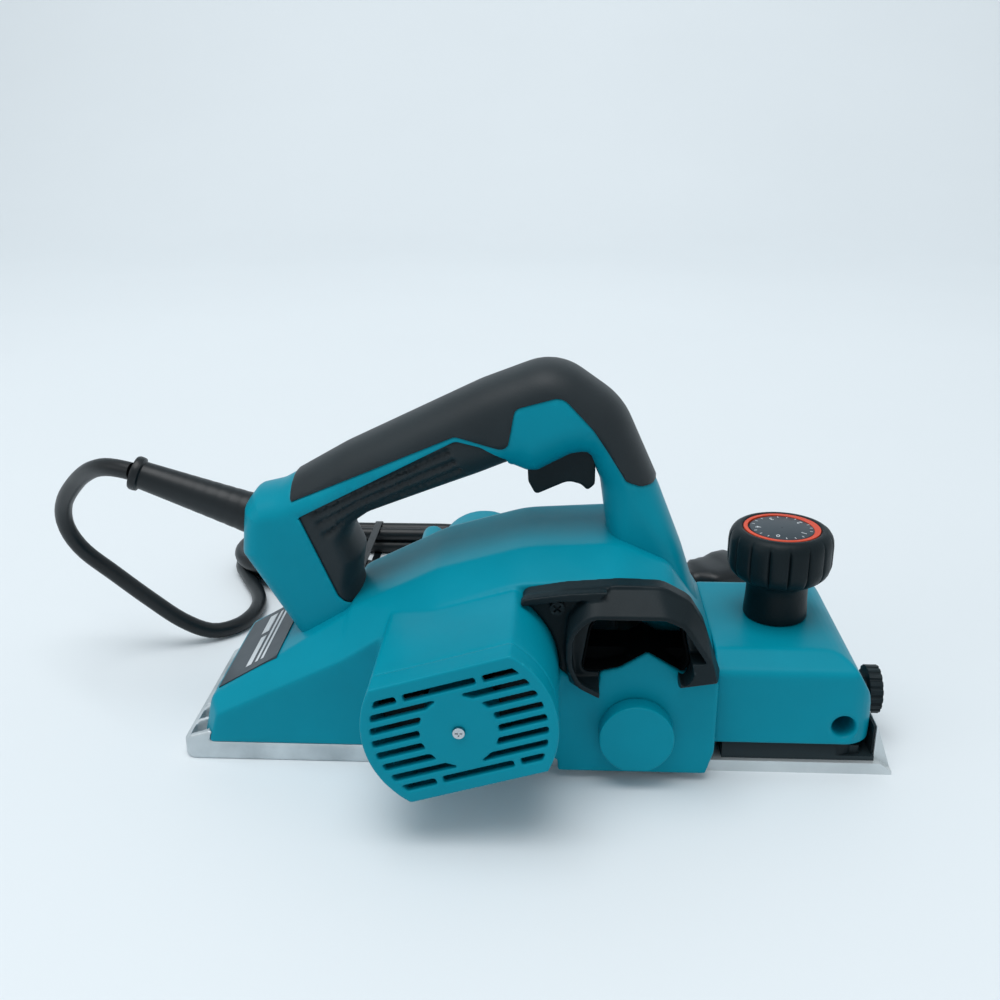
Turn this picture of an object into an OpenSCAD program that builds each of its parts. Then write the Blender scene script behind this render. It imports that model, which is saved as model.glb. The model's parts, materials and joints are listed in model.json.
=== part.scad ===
// Hand-held electric planer, 82 mm cut. +X is forward, +Z is up, the motor barrel is on the -Y side.
// The origin is the middle of the sole.

/* [Sole] */
// Overall length of the sole
sole_len = 285; // [280:1:292]
// Width of the sole and of the cut
sole_w = 82; // [80:0.5:84]
// Thickness of the rear sole plate
rear_sole_t = 8; // [7:0.5:9]
// Thickness of the front sole plate
front_sole_t = 5; // [4.5:0.1:5.5]

/* [Cutter] */
// Distance of the drum axis in front of the origin
drum_x = 40; // [39:0.5:41]
// Height of the drum axis, and radius of the cutting circle
drum_z = 23; // [22.6:0.1:23.4]
// Radius of the solid drum
drum_r = 22; // [21:0.5:22]
// Radius of the drum pulley
drum_pulley_r = 15; // [14:0.5:15.5]
// Radius of the motor pulley
motor_pulley_r = 10; // [9:0.5:11]

/* [Motor] */
// Place of the motor axis along X
motor_x = -24.5; // [-26:0.5:-23]
// Height of the motor axis
motor_z = 49; // [48:0.5:50]
// Radius of the motor barrel
barrel_r = 34.5; // [34:0.5:36]
// Half height of the barrel between its flats
barrel_flat = 23.5; // [23:0.5:25]
// Tilt of the flats in degrees
barrel_tilt = 16.5; // [14:0.5:18]
// Front of the motor end cap, from the middle of the sole
cap_y = -94; // [-96:0.5:-92]

/* [Handle] */
// Half width of the handle
handle_half = 18.5; // [17:0.5:20]
// Wall thickness of the handle shells
handle_wall = 2.5; // [2:0.1:3]
// Thickness of the soft skin on the handle
skin_t = 2; // [1.5:0.1:2.2]

/* [Depth control] */
// Place of the depth knob along X
knob_x = 100; // [98:0.5:102]
// Radius of the depth knob's grip
knob_r = 21; // [20:0.5:22]
// Number of flat panels round the knob
knob_panels = 16; // [14:1:18]
// Height of the knob's top face
knob_top = 89; // [88:0.5:90]

/* [Edge guide] */
// Radius of the hole for the edge guide's rod
guide_r = 4.5; // [4:0.1:5]
// Place of the rod hole along X
guide_x = 122; // [121:0.5:123]
// Height of the rod hole
guide_z = 21; // [20.5:0.5:21.5]

/* [Cord] */
// Diameter of the mains cord
cord_d = 7.6; // [7:0.1:8]
// Length of the strain relief outside the handle
guard_len = 53; // [45:1:58]

/* [Hidden] */

teal = [0.0, 0.47, 0.53];
black = [0.12, 0.14, 0.15];
alloy = [0.78, 0.79, 0.80];
steel = [0.6, 0.61, 0.63];
copper = [0.7, 0.4, 0.25];

half_l = sole_len / 2;
half_w = sole_w / 2;
shaft_play = 0.05;
mouth_rear = drum_x - 15;
mouth_front = drum_x + 16;
seam_x = 71;
body_wall = 3;
drum_wall_in = half_w;
drum_wall_out = 46;
pad_y = -49;
drum_shaft_r = 3.5;
motor_shaft_r = 4;
pulley_y = 49;
pulley_w = 7;
trigger_pivot = [20, 126];
guard_root = [-116, 0, 91.5];
guard_angle = 20;
screw_play = 0.05;
handle_screw_at = [[-103, 66], [-62, 116], [-16, 141], [31, 129], [50, 86]];
base_screw_at = [[-118, -30], [-118, 30], [-60, 34], [-85, -34]];
belt_screw_at = [[-49, 58], [8, 36], [64, 36]];
belt_cover_in = 59.6;
belt_cover_out = 62;
lock_at = [-6, 133];
lock_r = 4;
knob_neck_bottom = 50.3;
front_top = 50;
skirt_top = 12.3;
front_floor = 13;
post_x = 84;
post_y = 26;
post_r = 4;
clamp_y = -10;

// ---- helpers ----

function unit(v) = v / norm(v);
function at(v, i) = v[(i + len(v)) % len(v)];
function xy(p) = [p[0], p[1]];

// Corner p between neighbours a and b, rounded by radius r with n steps.
function round_corner(a, p, b, r, n) =
    let (u = unit(a - p), v = unit(b - p), half = acos(max(-1, min(1, u * v))) / 2,
         t = min(r / tan(half), 0.49 * norm(a - p), 0.49 * norm(b - p)),
         rr = t * tan(half), c = p + unit(u + v) * rr / sin(half))
    [for (k = [0:n]) c + rr * unit((p + u * t - c) * (1 - k / n) + (p + v * t - c) * k / n)];

// Outline from points [x, y] or [x, y, radius].
function rounded(pts, n = 5) = [for (i = [0:len(pts) - 1])
    let (p = pts[i], r = len(p) > 2 ? p[2] : 0)
    each r > 0 ? round_corner(xy(at(pts, i - 1)), xy(p), xy(at(pts, i + 1)), r, n) : [xy(p)]];

// Outline in XZ drawn out from y0 to y1.
module slab_xz(y0, y1) {
    translate([0, y1, 0]) rotate([90, 0, 0]) linear_extrude(y1 - y0) children();
}

// Outline in YZ drawn out from x0 to x1.
module slab_yz(x0, x1) {
    translate([x0, 0, 0]) rotate([90, 0, 90]) linear_extrude(x1 - x0) children();
}

// Round bar along Y, centred on [x, z].
module bar_y(p, r, y0, y1, fn = 48) {
    translate([p[0], y1, p[1]]) rotate([90, 0, 0]) cylinder(r = r, h = y1 - y0, $fn = fn);
}

module bar_z(p, r, z0, z1, fn = 48) {
    translate([p[0], p[1], z0]) cylinder(r = r, h = z1 - z0, $fn = fn);
}

module bar_x(p, r, x0, x1, fn = 48) {
    translate([x0, p[0], p[1]]) rotate([0, 90, 0]) cylinder(r = r, h = x1 - x0, $fn = fn);
}

module box(a, b) { translate(a) cube(b - a); }

motor_at = [motor_x, motor_z];
drum_at = [drum_x, drum_z];
chute_screw_at = [9, 75.5];

// ---- housings ----

// Side view of the body at its crest and at its shoulders, moved in by t.
function crest(t) = [[-135 + 1.3 * t, rear_sole_t], [-131 + 1.3 * t, 25 - t, 5], [-102, 40 - t, 20],
    [-73, 61 - t, 20], [-39, 78 - t, 30], [-4, 88 - t, 40], [33, 90 - t, 20], [53, 81 - t, 12],
    [seam_x - t, 52 - t, 6], [seam_x - t, rear_sole_t]];
function shoulder(t) = [[-131 + 1.3 * t, rear_sole_t], [-127 + 1.3 * t, 21 - t, 4],
    [-68, 51 - t, 20], [-39, 70 - t, 30], [-8, 80 - t, 40], [33, 83 - t, 20], [53, 75 - t, 12],
    [seam_x - t, 46 - t, 6], [seam_x - t, rear_sole_t]];

// Solid of the body with sloping shoulders, moved in by t. Rear part, then front part.
module body_solid(t) {
    crest_half = 22;
    rear_half = 33;
    hull() {
        slab_xz(-rear_half, rear_half) polygon([for (p = rounded(crest(t))) if (p[0] < -115) p]);
        slab_xz(-half_w + t, half_w - t) polygon([for (p = rounded(shoulder(t))) if (p[0] < -72) p]);
        slab_xz(-half_w + t, half_w - t) polygon([[-72, rear_sole_t], [-72, 48 - t], [-76, 46 - t]]);
        slab_xz(-crest_half, crest_half) polygon([[-72, rear_sole_t], [-72, 60 - t], [-74, 58 - t]]);
    }
    hull() {
        slab_xz(-crest_half, crest_half) polygon([[-76, rear_sole_t], [-76, 57.4 - t],
            for (p = rounded(crest(t))) if (p[0] > -75) p]);
        slab_xz(-half_w + t, half_w - t) polygon([[-76, rear_sole_t], [-76, 46 - t],
            for (p = rounded(shoulder(t))) if (p[0] > -75) p]);
    }
}

// Cross-section of the motor barrel, grown by g.
module barrel_outline(g = 0) {
    translate(motor_at) rotate(barrel_tilt) intersection() {
        circle(r = barrel_r + g, $fn = 64);
        square([2 * barrel_r + 10, 2 * (barrel_flat + g)], center = true);
    }
}

// Teal skin over the drum side, with a roof-shaped top edge inside the chute's mouth.
module near_pad() {
    slab_xz(pad_y, -half_w) polygon(rounded([[0, rear_sole_t + 1], [10, rear_sole_t + 1],
        [10, 3.4], [68, 3.4], [seam_x, 14], [seam_x, 46, 4], [57, 48], [43.2, 56.5], [33, 49.8],
        [25.5, 47.8], [25, 38, 3], [6, 52, 6], [0, 76, 6], [-12, 76], [-12, 30]]));
}

module casting_walls(play = 0) {
    for (s = [-1, 1]) {
        y0 = s > 0 ? drum_wall_in : -drum_wall_out - play;
        box([13 - play, y0, 3.2 - play], [68 + play, y0 + drum_wall_out - drum_wall_in + play, 42 + play]);
    }
}

module base_casting() {
    lug_side = [[-half_l, 1], [-half_l, 6.5, 1.5], [-half_l + 3.5, 10.5, 2], [-half_l + 12, 13],
        [-half_l + 20, 13], [-half_l + 20, 1]];
    color(alloy) difference() {
        union() {
            // Rear sole and the lugs on it, with rounded rear corners
            intersection() {
                union() {
                    box([-half_l, -half_w, 0], [mouth_rear, half_w, rear_sole_t]);
                    for (y = [[-half_w, -16], [-12, 28]]) slab_xz(y[0], y[1]) polygon(rounded(lug_side));
                }
                linear_extrude(40) polygon(rounded([[-half_l, -half_w, 5], [mouth_rear, -half_w],
                    [mouth_rear, half_w], [-half_l, half_w, 5]]));
            }
            casting_walls();
            // Bearing rings
            bar_y(drum_at, 12.5, -54, -drum_wall_in);
            bar_y(drum_at, 12.5, drum_wall_in, 48);
            // Arch over the drum
            difference() {
                bar_y(drum_at, 28.3, -drum_wall_in, drum_wall_in, 96);
                box([0, -50, -10], [100, 50, 3.2]);
                box([drum_x, -50, -10], [100, 50, 14]);
            }
        }
        // Drum chamber and chip window
        bar_y(drum_at, 25.3, -drum_wall_in, drum_wall_in, 96);
        box([34, -32, 40], [64, 32, 60]);
        // Bearing seats and shaft holes
        bar_y(drum_at, 9.5 + screw_play, -55, -47);
        bar_y(drum_at, 9.5 + screw_play, 42.5, 49);
        bar_y(drum_at, 7, -50, 50);
        // Lug pockets
        for (y = [-38, -27, -2, 10]) box([-half_l + 2.5, y, 4], [-half_l + 10.5, y + 9, 30]);
        for (p = belt_screw_at) bar_y(p, 1.6, half_w, 50, 24);
        // Space for the housing's rear edge
        intersection() {
            body_solid(0);
            box([-150, -60, 0], [-100, 60, 60]);
        }
        for (p = base_screw_at) {
            bar_z(p, 2.2, -1, 10, 24);
            bar_z(p, 4.4, -1, 3.5, 24);
        }
    }
}

module main_housing() {
    color(teal) difference() {
        union() {
            difference() {
                body_solid(0);
                body_solid(body_wall);
            }
            near_pad();
            // Motor barrel and its sleeve inside the body
            slab_xz(-84, -half_w + body_wall) barrel_outline();
            slab_xz(-half_w + body_wall, -12) barrel_outline();
            // Partition between the motor space and the chip duct
            intersection() {
                body_solid(0);
                box([15, -half_w, 25], [17.5, half_w, 95]);
            }
            // Bearing boss of the motor shaft on the belt side
            bar_y(motor_at, 14, 33, half_w);
            for (p = base_screw_at) bar_z(p, 5, rear_sole_t, 24, 24);
            for (p = belt_screw_at) if (p[0] < 60) bar_y(p, 4, half_w - 8, half_w, 24);
        }
        slab_xz(-85, -11) barrel_outline(-3);
        bar_y(motor_at, 11 + screw_play, 35, half_w + 1);
        bar_y(motor_at, 7, 30, half_w + 1);
        for (p = base_screw_at) bar_z(p, 2 + screw_play, 0, 20, 24);
        // Mouth of the chip duct in the near wall
        slab_xz(-half_w - 4, -half_w + body_wall + 1) polygon(rounded([[18, 48], [25.5, 47.9],
            [33, 49.9], [43.2, 56.6], [57, 48.1], [60, 52, 5], [55, 74, 8], [22, 74, 10]]));
        // Room for the casting and the drum
        casting_walls(0.1);
        bar_y(drum_at, 28.4, -half_w - 1, half_w + 1, 96);
        bar_y(drum_at, 12.7, -56, -half_w);
        bar_y(drum_at, 12.7, half_w - 4, half_w + 2);
        box([9, -60, -5], [seam_x + 1, 60, 3.4]);
        // Screw of the chute
        bar_y(chute_screw_at, 1.6, pad_y - 6, -half_w + 8, 24);
        for (p = belt_screw_at) bar_y(p, 1.6, half_w - 6, half_w + 2, 24);
    }
}

module front_outline(t) {
    slab_xz(-half_w + t, half_w - t) polygon(rounded([[seam_x + 0.2 + t, front_floor - 9 * t],
        [seam_x + 0.2 + t, front_top - t], [123 - t / 2, front_top - t, 14], [132.5 - t, 33, 16],
        [134.5 - t, 20], [134.5 - t, front_floor - 9 * t]]));
}

// Solid of the front housing moved in by t, with rounded shoulders and front corners.
module front_solid(t) {
    intersection() {
        front_outline(t);
        slab_yz(60, 150) polygon(rounded([[-half_w + t, 0], [-half_w + t, 44.5 - t, 4],
            [-31 + t / 2, front_top - t, 4], [31 - t / 2, front_top - t, 4],
            [half_w - t, 44.5 - t, 4], [half_w - t, 0]]));
        linear_extrude(100) polygon(rounded([[60, -half_w + t], [134.5 - t, -half_w + t, 12 - t],
            [134.5 - t, half_w - t, 12 - t], [60, half_w - t]], 8));
    }
}

module front_housing() {
    rod_at = [guide_x, guide_z];
    color(teal) difference() {
        union() {
            difference() {
                front_solid(0);
                front_solid(2.5);
            }
            // Sleeve of the guide rod, boss of the clamp screw, guides of the posts, knob boss
            bar_y(rod_at, 6, -half_w + 0.2, half_w - 0.2);
            bar_x([clamp_y, guide_z], 5.5, guide_x, 133);
            for (s = [-1, 1]) bar_z([post_x, s * post_y], 7, 20, front_top - 1);
            bar_z([knob_x, 0], 11, 40, front_top - 1);
        }
        bar_y(rod_at, guide_r, -half_w - 1, half_w + 1);
        // Bevel at each mouth of the rod hole
        for (s = [-1, 1]) translate([guide_x, s * (half_w + 0.01), guide_z]) rotate([s * 90, 0, 0])
            cylinder(r1 = guide_r + 1.2, r2 = guide_r, h = 1.2, $fn = 48);
        bar_x([clamp_y, guide_z], 3.1, guide_x, 140, 32);
        for (s = [-1, 1]) bar_z([post_x, s * post_y], post_r + shaft_play, 10, front_top - 4);
        bar_z([knob_x, 0], 4.1, 30, front_top + 1);
        // Thin lower rim that the skirt slides behind
        linear_extrude(19.5)
            polygon(rounded([[75, -39.3], [131, -39.3, 10.3], [131, 39.3, 10.3], [75, 39.3]], 8));
    }
    color(teal) difference() {
        bar_y(rod_at, 6, -39.2, 39.2);
        bar_y(rod_at, guide_r, -half_w, half_w);
        bar_x([clamp_y, guide_z], 3.1, guide_x, 140, 32);
    }
}

// Vent slots of the end cap: bars of one pitch between the rim and the plain centre.
module vent_slots() {
    pitch = 4.95;
    slot_w = 2.7;
    centre_r = 13.8;
    rib_at = 14.5;
    translate(motor_at) rotate(barrel_tilt) difference() {
        intersection() {
            union() for (k = [-3.5:1:3.5]) translate([-40, k * pitch - slot_w / 2]) square([80, slot_w]);
            circle(r = barrel_r - 3.6, $fn = 64);
        }
        circle(r = centre_r, $fn = 64);
        for (s = [-1, 1]) for (u = [-rib_at - 1.5, rib_at - 2])
            translate([s * u - 1.3, s * 3.5 * pitch - slot_w]) square([2.6, 2 * slot_w]);
    }
}

module motor_end_cap() {
    color(teal) difference() {
        slab_xz(cap_y, -84.1) barrel_outline();
        slab_xz(cap_y + 3, -84) barrel_outline(-3);
        slab_xz(cap_y - 1, cap_y + 4) vent_slots();
        bar_y(motor_at, 1.7, cap_y - 1, -80, 24);
    }
    color(teal) difference() {
        bar_y(motor_at, 13.5, cap_y + 3, -77);
        bar_y(motor_at, 11 + screw_play, -84, -76);
        bar_y(motor_at, 1.7, cap_y - 1, -80, 24);
    }
}

module end_cap_screw() {
    color(steel) difference() {
        union() {
            bar_y(motor_at, 1.6, cap_y, -86, 24);
            bar_y(motor_at, 2.1, cap_y - 1.2, cap_y, 24);
        }
        for (a = [0, 90]) translate([motor_x, cap_y - 1.2, motor_z]) rotate([0, a, 0])
            cube([2.6, 1.2, 0.6], center = true);
    }
}

// ---- handle ----

handle_pts = [[-92, 30], [-121, 79, 3], [-119, 98, 4], [-114, 104.5, 3], [-104, 107, 10],
    [-77, 122.5, 60], [-22, 149, 60], [8, 160.5, 22], [34, 142, 30], [50, 107, 40], [60, 82, 30],
    [69, 55], [69, 40]];
opening_pts = [[-66, 40], [-71, 66, 5], [-69, 78, 6], [-74, 89, 4], [-66, 94.5, 6], [-22, 111, 8],
    [-10, 116, 3], [-4, 113.5, 2], [1, 113.5, 3], [14, 120.5, 3], [20, 121.5, 2], [25, 110, 8],
    [28, 90, 6], [30, 60]];
overmould_pts = [[-99, 130], [-97, 103.5], [-31, 131.5, 4], [-11, 125.5, 3], [-8, 142.5, 3],
    [10, 147.5, 6], [22, 134.5, 10], [35, 114, 4], [41, 111.5], [62, 110.5], [62, 170], [-99, 170]];
finger_pts = [[-94, 97, 1], [-31, 129.5, 3], [-21, 127], [-11, 120.5], [-9, 105], [-55, 80],
    [-60, 55], [-77, 60.5], [-80, 63]];

module handle_2d() {
    difference() {
        polygon(rounded(handle_pts));
        polygon(rounded(opening_pts));
    }
}

module handle_inner_2d(depth) { offset(delta = -depth) handle_2d(); }

// Soft skin over one region of the handle.
module handle_skin(pts) {
    difference() {
        slab_xz(-handle_half, handle_half) intersection() {
            handle_2d();
            polygon(rounded(pts));
        }
        slab_xz(-handle_half + skin_t, handle_half - skin_t) handle_inner_2d(skin_t);
        body_solid(0);
        handle_cuts();
    }
}

module guard_frame() { translate(guard_root) rotate([0, -90 + guard_angle, 0]) children(); }

// Openings that pass through the handle's wall.
module handle_cuts() {
    box([-5.5, -8.6, 104], [25, 8.6, 127]);
    guard_frame() translate([0, 0, -14]) cylinder(r = 8.6, h = 30, $fn = 48);
    bar_y(lock_at, lock_r + shaft_play, 0, 30);
    bar_y(trigger_pivot, 1.5 + screw_play, -12, 12, 24);
}

// One half of the handle: s is -1 for the near shell and 1 for the far one.
module handle_shell(s) {
    inner = skin_t + handle_wall;
    difference() {
        union() {
            difference() {
                slab_xz(min(0, s * handle_half), max(0, s * handle_half)) handle_2d();
                slab_xz(min(0, s * (handle_half - inner)), max(0, s * (handle_half - inner)))
                    handle_inner_2d(inner);
            }
            for (p = handle_screw_at) bar_y(p, 3.6, min(0, s * 15), max(0, s * 15), 24);
            bar_y(trigger_pivot, 4, min(s * 9, s * 15), max(s * 9, s * 15), 24);
        }
        difference() {
            slab_xz(-handle_half - 1, handle_half + 1) union() {
                intersection() { handle_2d(); polygon(rounded(overmould_pts)); }
                intersection() { handle_2d(); polygon(rounded(finger_pts)); }
            }
            slab_xz(-handle_half + skin_t, handle_half - skin_t) handle_inner_2d(skin_t);
        }
        body_solid(0);
        handle_cuts();
        for (p = handle_screw_at) {
            bar_y(p, 1.7, -11, 30, 24);
            bar_y(p, 3.3, handle_half - skin_t - 2.2, 30, 24);
        }
    }
}

module handle_near() { color(teal) handle_shell(-1); }
module handle_far() { color(teal) handle_shell(1); }
module handle_overmould() {
    color(black) difference() {
        handle_skin(overmould_pts);
        for (p = handle_screw_at) bar_y(p, 3.3, handle_half - skin_t - 2.2, 30, 24);
    }
}
module finger_grip() {
    color(black) difference() {
        handle_skin(finger_pts);
        for (p = handle_screw_at) bar_y(p, 3.3, handle_half - skin_t - 2.2, 30, 24);
    }
}

module handle_screws() {
    color(steel) for (p = handle_screw_at) {
        bar_y(p, 1.65, -10.5, 15, 24);
        bar_y(p, 3.1, handle_half - skin_t - 2.2, handle_half - skin_t - 0.4, 24);
    }
}

module base_screws() {
    color(steel) for (p = base_screw_at) {
        bar_z(p, 2, 1, 19, 24);
        bar_z(p, 4.2, 1, 3.5, 24);
    }
}

module switch_module() {
    color(black) difference() {
        union() {
            box([-22, -8.5, 128.5], [12, 8.5, 143]);
            box([-14, -3, 126], [-2, 3, 128.5]);
        }
        bar_y([-16, 141], 4, -12, 12, 24);
    }
}

module trigger_pin() { color(steel) bar_y(trigger_pivot, 1.5, -12, 12, 24); }

module trigger() {
    color(black) difference() {
        slab_xz(-8, 8) polygon(rounded([[-3.5, 121.5, 1], [-3, 110, 1], [0, 104.5, 1.5], [13, 110.5, 8],
            [18, 109, 3], [20.5, 106.5, 1], [23.5, 109, 2], [23.5, 129, 3], [16, 129, 3], [14, 123]]));
        bar_y(trigger_pivot, 1.5 + shaft_play, -9, 9, 24);
    }
}

module lock_button() {
    color(black) union() {
        bar_y(lock_at, lock_r, 12, handle_half + 3);
        bar_y(lock_at, lock_r + 1.2, 11.8, 13.8);
    }
}

module cord_guard() {
    color(black) difference() {
        guard_frame() union() {
            translate([0, 0, -10]) cylinder(r = 8.4, h = 12, $fn = 48);
            translate([0, 0, 2]) cylinder(r1 = 8.4, r2 = 5.6, h = guard_len - 4, $fn = 48);
            translate([0, 0, guard_len - 2]) cylinder(r = 6.6, h = 2, $fn = 48);
            translate([0, 0, -12]) cylinder(r = 10.5, h = 2.4, $fn = 48);
        }
        guard_frame() translate([0, 0, -13]) cylinder(r = 3, h = guard_len + 12.9, $fn = 32);
    }
}

module cord_clamp() { color(black) box([-98, -14, 88], [-93, 14, 91.5]); }

// ---- chip chute, drum cover, belt side ----

module chute_hood(g) {
    hull() {
        slab_xz(pad_y - 0.6, pad_y + 0.5) offset(delta = -g) polygon(rounded([[14, 44], [12.3, 57, 6],
            [13.2, 72, 7], [20, 82.3, 9], [47, 82.5, 12], [58.5, 77.5, 10], [64, 69, 6],
            [70.5, 50.5], [70.5, 46]], 8));
        slab_xz(g > 0 ? -60 : -59, -57.5) offset(delta = -g) polygon(rounded([[25.2, 42.3],
            [16.5, 47, 9], [12.4, 56, 9], [12.4, 68, 11], [20, 76.4, 9], [49, 76.4, 9], [56, 73.5, 9],
            [66.5, 57.5, 4], [68.5, 49.8]], 8));
    }
}
module chip_chute() {
    color(black) difference() {
        union() {
            difference() {
                chute_hood(0);
                difference() {
                    chute_hood(2.3);
                    box([54.9, -61, 40], [72, pad_y + 1, 57.5]);
                }
                // Open underside
                box([25.2, -70, 30], [54.9, pad_y + 1, 60]);
            }
            // Flange against the body
            slab_xz(pad_y + 0.1, -half_w - 0.1) polygon(rounded([[-5, 71.5, 2], [-4, 79.5, 4],
                [12, 82.5, 10], [32, 84.2, 14], [48, 83.8, 12], [58.5, 78, 10], [64, 69, 8],
                [70.5, 50], [70.5, 47.5], [57, 50], [43, 58], [27, 50], [24, 44], [11, 44, 3],
                [6, 57, 6], [2.5, 69.5, 4]]));
            // Arm over the screw
            slab_xz(pad_y - 4.5, pad_y + 0.2) polygon(rounded([[-5, 77, 1.5], [-4, 80, 4],
                [12, 82.4, 10], [28, 83.5], [24, 79.8, 3], [10, 79.2, 4]]));
        }
        slab_xz(-70, pad_y + 10) polygon(rounded([[25.5, 47.8], [33, 49.8], [43.2, 56.5],
            [57, 48], [60, 52, 5], [55, 74, 8], [22, 74, 10], [18, 48, 3]]));
        body_solid(0);
        near_pad();
        slab_xz(-90, -40) barrel_outline(0.2);
        bar_y(chute_screw_at, 1.6, -54, -40, 24);
    }
}
module chute_screw() {
    color(steel) difference() {
        union() {
            bar_y(chute_screw_at, 1.55, pad_y - 1, -half_w + 7, 24);
            bar_y(chute_screw_at, 2.7, pad_y - 2.2, pad_y + 0.05, 32);
        }
        // Cross recess
        for (a = [45, 135]) translate([chute_screw_at[0], pad_y - 2.3, chute_screw_at[1]])
            rotate([0, a, 0]) cube([0.8, 2.6, 3.6], center = true);
    }
}

module drum_cover() {
    color(teal) difference() {
        bar_y(drum_at, 14.4, -56.5, pad_y);
        bar_y(drum_at, 12.6, -55, pad_y + 1);
        box([0, -60, -5], [80, -40, 9.3]);
    }
}

module belt_hull(rm, rd) {
    hull() {
        translate(motor_at) circle(r = rm, $fn = 64);
        translate(drum_at) circle(r = rd, $fn = 64);
    }
}

module belt_cover() {
    color(teal) difference() {
        intersection() {
            slab_xz(half_w, belt_cover_out) union() {
                belt_hull(22, 25);
                for (p = belt_screw_at) translate(p) circle(r = 5, $fn = 32);
            }
            box([-80, 30, 3.6], [80, 70, 90]);
        }
        slab_xz(half_w - 1, belt_cover_in) difference() {
            intersection() {
                belt_hull(19.8, 22.6);
                translate([-80, 5.6]) square([160, 90]);
            }
            for (p = belt_screw_at) translate(p) circle(r = 3.4, $fn = 32);
        }
        casting_walls(0.1);
        bar_y(drum_at, 12.6, 40, 49);
        for (p = belt_screw_at) bar_y(p, 1.6, 40, 70, 24);
    }
}

module belt_cover_screws() {
    color(steel) for (p = belt_screw_at) {
        bar_y(p, 1.55, p[0] < 60 ? half_w - 5 : half_w + 0.5, belt_cover_out, 24);
        bar_y(p, 2.8, belt_cover_out, belt_cover_out + 1.2, 24);
    }
}

module drive_belt() {
    play = 0.12;
    belt_t = 1.6;
    color(black) slab_xz(pulley_y + 1, pulley_y + pulley_w - 1) difference() {
        belt_hull(motor_pulley_r + play + belt_t, drum_pulley_r + play + belt_t);
        belt_hull(motor_pulley_r + play, drum_pulley_r + play);
    }
}

module ring_y(p, r_in, r_out, y0, y1) {
    difference() {
        bar_y(p, r_out, y0, y1);
        bar_y(p, r_in, y0 - 1, y1 + 1);
    }
}

module drum_bearing_near() { color(steel) ring_y(drum_at, drum_shaft_r + shaft_play, 9.5, -53, -47); }
module drum_bearing_far() { color(steel) ring_y(drum_at, drum_shaft_r + shaft_play, 9.5, 42.5, 48); }
module motor_bearing_near() {
    color(steel) ring_y(motor_at, motor_shaft_r + shaft_play, 11, -84, -77);
}
module motor_bearing_far() {
    color(steel) ring_y(motor_at, motor_shaft_r + shaft_play, 11, 35, half_w);
}

module stator() {
    color(steel) difference() {
        slab_xz(-56, -14) barrel_outline(-3.1);
        bar_y(motor_at, 17.6, -57, -13);
    }
}

module motor_frame() { translate([motor_x, 0, motor_z]) rotate([0, -barrel_tilt, 0]) children(); }

module brush_holders() {
    color(copper) motor_frame() for (s = [-1, 1]) difference() {
        box([s > 0 ? 13 : -30, -72, -6], [s > 0 ? 30 : -13, -61, 6]);
        box([s > 0 ? 12 : -28, -70, -4], [s > 0 ? 28 : -12, -63, 4]);
    }
}

module brushes() {
    color(black) motor_frame() for (s = [-1, 1])
        box([s > 0 ? 11.4 : -24, -69.9, -3.9], [s > 0 ? 24 : -11.4, -63.1, 3.9]);
}

// Blank plate bedded on the rear slope
module rating_plate() {
    color(black) difference() {
        intersection() {
            translate([0, 0, 0.6]) body_solid(0);
            box([-129, -29, 18], [-104, 29, 60]);
        }
        body_solid(0);
    }
}

// ---- armature ----

module motor_shaft() { color(steel) bar_y(motor_at, motor_shaft_r, -80, 58.5); }

module on_shaft(p, r, shaft_r, y0, y1) { ring_y(p, shaft_r + 0.01, r, y0, y1); }

module rotor_core() {
    color(copper) difference() {
        on_shaft(motor_at, 17, motor_shaft_r, -56, -13);
        motor_frame() for (a = [0:30:330]) rotate([0, a, 0]) box([15, -57, -1], [18, -12, 1]);
    }
}

module commutator() { color(copper) on_shaft(motor_at, 11, motor_shaft_r, -74, -59); }

module cooling_fan() {
    blades = 11;
    color(black) motor_frame() difference() {
        union() {
            bar_y([0, 0], 26, -8, -6.5);
            bar_y([0, 0], 8, -8, 6);
            for (a = [0:360 / blades:359]) rotate([0, a, 0]) box([7, -7, -0.8], [25, 4, 0.8]);
        }
        bar_y([0, 0], motor_shaft_r + 0.01, -9, 7);
    }
}

module motor_pulley() {
    color(steel) on_shaft(motor_at, motor_pulley_r, motor_shaft_r, pulley_y, pulley_y + pulley_w);
}

// ---- cutter drum ----

blade_turn = [25, 205];

module at_blade() {
    for (a = blade_turn) translate([drum_x, 0, drum_z]) rotate([0, -a, 0]) children();
}

module cutter_drum() {
    color(alloy) difference() {
        union() {
            bar_y(drum_at, drum_r, -40.5, 40.5, 96);
            bar_y(drum_at, 6.5, -41.5, 41.5);
            bar_y(drum_at, drum_shaft_r, -53, 59);
        }
        at_blade() box([13, -41, -6], [30, 41, 6]);
    }
}

module drum_blades() {
    // The edge of each blade runs just above the plane of the rear sole
    reach = sqrt((drum_z - 0.1) ^ 2 - 6 ^ 2);
    color(steel) at_blade() box([13, -40.5, -6], [reach, 40.5, -4.6]);
}

module blade_clamps() {
    color(alloy) difference() {
        intersection() {
            at_blade() box([13, -40.5, -4.6], [30, 40.5, 6]);
            bar_y(drum_at, drum_r - 0.3, -42, 42, 96);
        }
        at_blade() for (y = [-28, 0, 28]) translate([10, y, 0.8]) rotate([0, 90, 0])
            cylinder(r = 3.2, h = 20, $fn = 24);
    }
}

module blade_bolts() {
    color(steel) at_blade() for (y = [-28, 0, 28]) translate([13, y, 0.8]) rotate([0, 90, 0])
        cylinder(r = 3.15, h = 7, $fn = 24);
}

module drum_pulley() {
    color(black) on_shaft(drum_at, drum_pulley_r, drum_shaft_r, pulley_y, pulley_y + pulley_w);
}

module pulley_nut() {
    color(steel) difference() {
        bar_y(drum_at, 6, pulley_y + pulley_w, 58.6, 6);
        bar_y(drum_at, drum_shaft_r + 0.01, 50, 62);
    }
}

// ---- depth control and front base ----

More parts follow.
